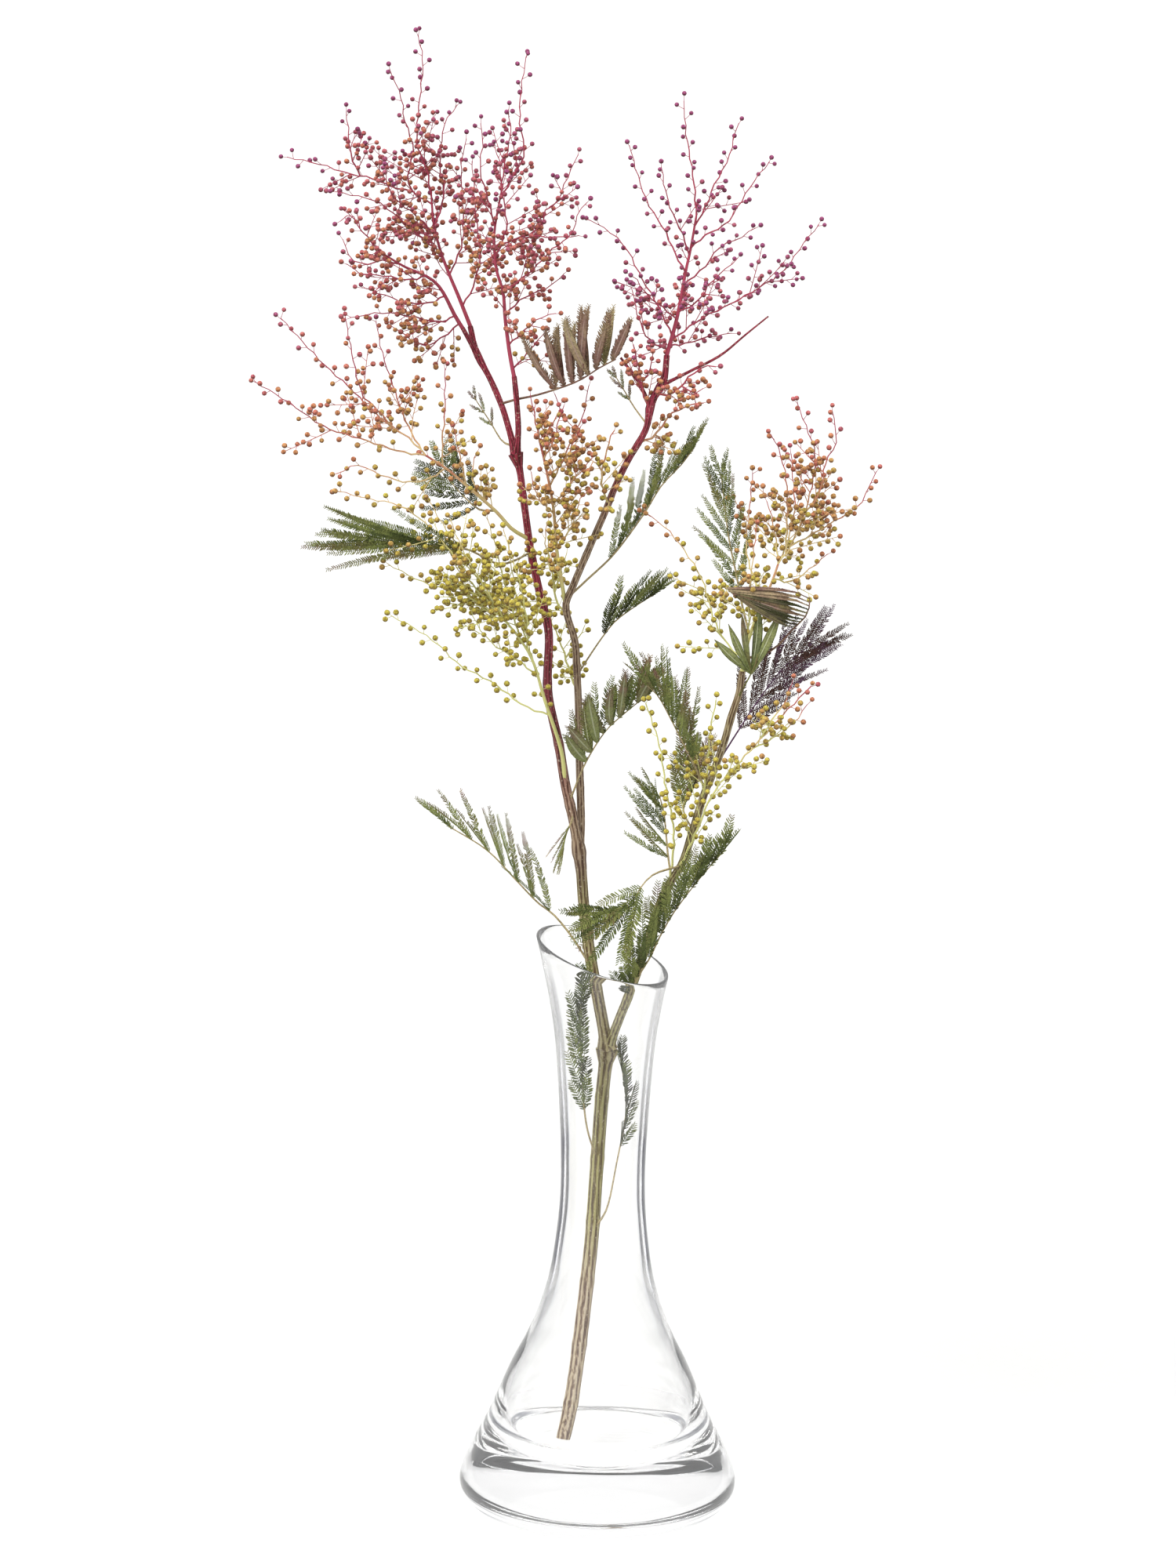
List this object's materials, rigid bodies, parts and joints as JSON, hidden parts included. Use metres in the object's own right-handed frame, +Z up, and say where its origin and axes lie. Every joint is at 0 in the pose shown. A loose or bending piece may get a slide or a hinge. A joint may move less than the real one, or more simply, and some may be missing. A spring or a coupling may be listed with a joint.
{
  "type": "mimosa sprig in a vase",
  "caption": "Forked mimosa sprig in bud, with racemes of round buds and fern-like fronds, in a clear bud vase with a slanted rim.",
  "frame": {"origin": "centre of the vase's flat underside", "axes": "+Z up along the vase's axis; the front of the sprig faces -Y, and +X is to the right seen from the front"},
  "size_m": [0.2621, 0.1192, 0.6337],
  "materials": {
    "glass": "clear, polished",
    "stem": "smooth young bark, matt",
    "buds_plum": "finely grained bud, matt",
    "buds_orange": "finely grained bud, matt",
    "buds_yellow": "finely grained bud, matt",
    "leaf_green": "leaf, matt",
    "leaf_dry": "dry leaf, matt"
  },
  "bodies": {
    "root": {"glass_vase": "glass", "woody_stem": "stem", "spray_left_crown": "buds_plum", "spray_low_left_crown": "buds_orange", "spray_middle_crown": "buds_plum", "spray_right_crown": "buds_plum", "spray_fork_left": "buds_plum", "spray_fork_right": "buds_orange", "spray_fork_low": "buds_orange", "spray_fork_front": "buds_yellow", "spray_centre": "buds_orange", "spray_left": "buds_orange", "spray_low_left": "buds_yellow", "spray_back_stem": "buds_yellow", "spray_above_fork": "buds_yellow", "spray_right_low": "buds_yellow", "spray_right_long": "buds_yellow", "spray_right_middle": "buds_yellow", "spray_right_top": "buds_yellow", "frond_vase_left": "leaf_green", "frond_vase_right": "leaf_green", "frond_rim_left": "leaf_green", "frond_rim_front": "leaf_green", "frond_rim_right": "leaf_green", "frond_right_lower": "leaf_green", "frond_right_inner": "leaf_green", "frond_right_upper": "leaf_green", "frond_right_purple": "leaf_dry", "frond_right_rolled": "leaf_dry", "frond_right_folded": "leaf_green", "frond_right_tall": "leaf_green", "frond_along_fork": "leaf_green", "frond_back_small": "leaf_green", "frond_stem_folded": "leaf_green", "frond_far_left": "leaf_green", "frond_upper": "leaf_dry", "frond_left_dark": "leaf_green", "frond_left_thin": "leaf_green", "frond_fork_thin": "leaf_green", "frond_stem_hanging": "leaf_green"}
  },
  "joints": []
}
